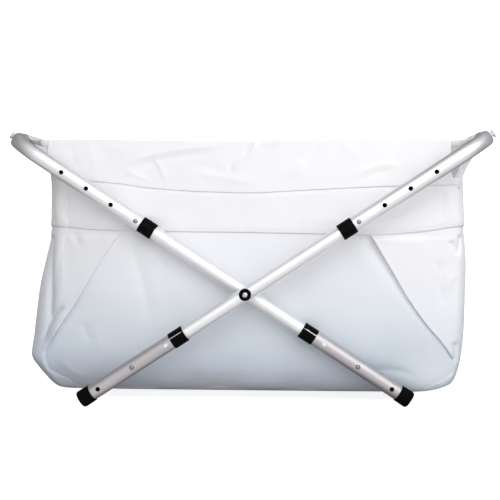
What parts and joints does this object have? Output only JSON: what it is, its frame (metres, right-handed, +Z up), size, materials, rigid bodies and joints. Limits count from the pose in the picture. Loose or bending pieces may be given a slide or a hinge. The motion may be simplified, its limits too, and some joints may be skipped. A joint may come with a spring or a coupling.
{
  "type": "foldable baby bathtub",
  "caption": "Soft baby bath bag slung between the crossbars of a folding X frame of telescoping tubes with snap buttons and rubber feet.",
  "frame": {"origin": "on the floor under the middle of the stand", "axes": "+X to the right along the tub as seen from the front, -Y towards the viewer of the front, +Z up"},
  "size_m": [0.8108, 0.486, 0.4484],
  "materials": {
    "aluminium_tube": "satin anodised, fine drawn grain along the tube",
    "steel": "bright nickel plated",
    "black_plastic": "moulded, slight sheen",
    "black_rubber": "matt rubber",
    "clear_vinyl": "clear soft vinyl",
    "bag_vinyl": "smooth translucent coated fabric, grey-blue towards the floor",
    "white_fabric": "white coated fabric with a soft sheen"
  },
  "bodies": {
    "pivots": {"pivot_bolt_front": "steel", "pivot_cap_front": "black_plastic", "pivot_spacer_front": "black_plastic", "pivot_nut_front": "steel", "pivot_bolt_back": "steel", "pivot_cap_back": "black_plastic", "pivot_spacer_back": "black_plastic", "pivot_nut_back": "steel"},
    "outer_legs": {"outer_middle_tube_front": "aluminium_tube", "outer_middle_tube_back": "aluminium_tube", "outer_top_button_spring_front": "steel", "outer_foot_button_spring_front": "steel", "outer_top_button_spring_back": "steel", "outer_foot_button_spring_back": "steel"},
    "outer_top": {"outer_top_tube": "aluminium_tube", "outer_top_collar_front": "black_plastic", "outer_top_collar_back": "black_plastic", "outer_suction_cup_front": "clear_vinyl", "outer_suction_cup_back": "clear_vinyl"},
    "outer_foot_front": {"outer_foot_tube_front": "aluminium_tube", "outer_foot_collar_front": "black_plastic", "outer_foot_cap_front": "black_rubber"},
    "outer_top_press_front": {"outer_top_button_front": "steel"},
    "outer_foot_press_front": {"outer_foot_button_front": "steel"},
    "outer_foot_back": {"outer_foot_tube_back": "aluminium_tube", "outer_foot_collar_back": "black_plastic", "outer_foot_cap_back": "black_rubber"},
    "outer_top_press_back": {"outer_top_button_back": "steel"},
    "outer_foot_press_back": {"outer_foot_button_back": "steel"},
    "inner_legs": {"inner_middle_tube_front": "aluminium_tube", "inner_middle_tube_back": "aluminium_tube", "inner_top_button_spring_front": "steel", "inner_foot_button_spring_front": "steel", "inner_top_button_spring_back": "steel", "inner_foot_button_spring_back": "steel"},
    "inner_top": {"inner_top_tube": "aluminium_tube", "inner_top_collar_front": "black_plastic", "inner_top_collar_back": "black_plastic", "inner_suction_cup_front": "clear_vinyl", "inner_suction_cup_back": "clear_vinyl"},
    "inner_foot_front": {"inner_foot_tube_front": "aluminium_tube", "inner_foot_collar_front": "black_plastic", "inner_foot_cap_front": "black_rubber"},
    "inner_top_press_front": {"inner_top_button_front": "steel"},
    "inner_foot_press_front": {"inner_foot_button_front": "steel"},
    "inner_foot_back": {"inner_foot_tube_back": "aluminium_tube", "inner_foot_collar_back": "black_plastic", "inner_foot_cap_back": "black_rubber"},
    "inner_top_press_back": {"inner_top_button_back": "steel"},
    "inner_foot_press_back": {"inner_foot_button_back": "steel"},
    "tub_right": {"tub_bag_right": "bag_vinyl", "rim_band_front_right": "white_fabric", "rim_band_back_right": "white_fabric", "crossbar_sleeve_right": "white_fabric"},
    "tub_left": {"tub_bag_left": "bag_vinyl", "rim_band_front_left": "white_fabric", "rim_band_back_left": "white_fabric", "crossbar_sleeve_left": "white_fabric"}
  },
  "joints": [
    {"name": "fold_outer", "type": "hinge", "parent": "pivots", "child": "outer_legs", "pos_m": [0, 0, 0.1818], "axis": [0, -1, 0], "range_deg": [0, 52], "deforming": ["tub_bag_right", "rim_band_front_right", "rim_band_back_right", "crossbar_sleeve_right"]},
    {"name": "fold_inner", "type": "hinge", "parent": "pivots", "child": "inner_legs", "pos_m": [0, 0, 0.1818], "axis": [0, -1, 0], "range_deg": [-52, 0], "deforming": ["tub_bag_left", "rim_band_front_left", "rim_band_back_left", "crossbar_sleeve_left"]},
    {"name": "outer_top_slide", "type": "slide", "parent": "outer_legs", "child": "outer_top", "axis": [0.8387, 0, 0.5446], "range_m": [-0.144, 0], "deforming": ["outer_top_button_front", "outer_top_button_back"]},
    {"name": "outer_foot_slide_front", "type": "slide", "parent": "outer_legs", "child": "outer_foot_front", "axis": [-0.8387, 0, -0.5446], "range_m": [-0.065, 0.065], "deforming": ["outer_foot_button_front"]},
    {"name": "outer_foot_slide_back", "type": "slide", "parent": "outer_legs", "child": "outer_foot_back", "axis": [-0.8387, 0, -0.5446], "range_m": [-0.065, 0.065], "deforming": ["outer_foot_button_back"]},
    {"name": "tub_hang_right", "type": "hinge", "parent": "outer_top", "child": "tub_right", "pos_m": [0.38495, 0, 0.43179], "axis": [0, -1, 0], "range_deg": [-52, 0]},
    {"name": "inner_top_slide", "type": "slide", "parent": "inner_legs", "child": "inner_top", "axis": [-0.8387, 0, 0.5446], "range_m": [-0.144, 0], "deforming": ["inner_top_button_front", "inner_top_button_back"]},
    {"name": "inner_foot_slide_front", "type": "slide", "parent": "inner_legs", "child": "inner_foot_front", "axis": [0.8387, 0, -0.5446], "range_m": [-0.065, 0.065], "deforming": ["inner_foot_button_front"]},
    {"name": "inner_foot_slide_back", "type": "slide", "parent": "inner_legs", "child": "inner_foot_back", "axis": [0.8387, 0, -0.5446], "range_m": [-0.065, 0.065], "deforming": ["inner_foot_button_back"]},
    {"name": "tub_hang_left", "type": "hinge", "parent": "inner_top", "child": "tub_left", "pos_m": [-0.38495, 0, 0.43179], "axis": [0, -1, 0], "range_deg": [0, 52]},
    {"name": "outer_top_button_press_front", "type": "slide", "parent": "outer_legs", "child": "outer_top_press_front", "axis": [0, 1, 0], "range_m": [0, 0.003], "stiffness_N_per_m": 800, "springref_m": -0.003, "deforming": ["outer_top_button_spring_front"]},
    {"name": "outer_top_button_press_back", "type": "slide", "parent": "outer_legs", "child": "outer_top_press_back", "axis": [0, -1, 0], "range_m": [0, 0.003], "stiffness_N_per_m": 800, "springref_m": -0.003, "deforming": ["outer_top_button_spring_back"]},
    {"name": "outer_foot_button_press_front", "type": "slide", "parent": "outer_legs", "child": "outer_foot_press_front", "axis": [0, 1, 0], "range_m": [0, 0.003], "stiffness_N_per_m": 800, "springref_m": -0.003, "deforming": ["outer_foot_button_spring_front"]},
    {"name": "outer_foot_button_press_back", "type": "slide", "parent": "outer_legs", "child": "outer_foot_press_back", "axis": [0, -1, 0], "range_m": [0, 0.003], "stiffness_N_per_m": 800, "springref_m": -0.003, "deforming": ["outer_foot_button_spring_back"]},
    {"name": "inner_top_button_press_front", "type": "slide", "parent": "inner_legs", "child": "inner_top_press_front", "axis": [0, 1, 0], "range_m": [0, 0.003], "stiffness_N_per_m": 800, "springref_m": -0.003, "deforming": ["inner_top_button_spring_front"]},
    {"name": "inner_top_button_press_back", "type": "slide", "parent": "inner_legs", "child": "inner_top_press_back", "axis": [0, -1, 0], "range_m": [0, 0.003], "stiffness_N_per_m": 800, "springref_m": -0.003, "deforming": ["inner_top_button_spring_back"]},
    {"name": "inner_foot_button_press_front", "type": "slide", "parent": "inner_legs", "child": "inner_foot_press_front", "axis": [0, 1, 0], "range_m": [0, 0.003], "stiffness_N_per_m": 800, "springref_m": -0.003, "deforming": ["inner_foot_button_spring_front"]},
    {"name": "inner_foot_button_press_back", "type": "slide", "parent": "inner_legs", "child": "inner_foot_press_back", "axis": [0, -1, 0], "range_m": [0, 0.003], "stiffness_N_per_m": 800, "springref_m": -0.003, "deforming": ["inner_foot_button_spring_back"]}
  ],
  "couplings": [
    {"joint": "fold_inner", "follows": "fold_outer", "ratio": -1},
    {"joint": "tub_hang_right", "follows": "fold_outer", "ratio": -1},
    {"joint": "tub_hang_left", "follows": "fold_outer", "ratio": 1},
    {"joint": "inner_top_slide", "follows": "outer_top_slide", "ratio": 1}
  ]
}
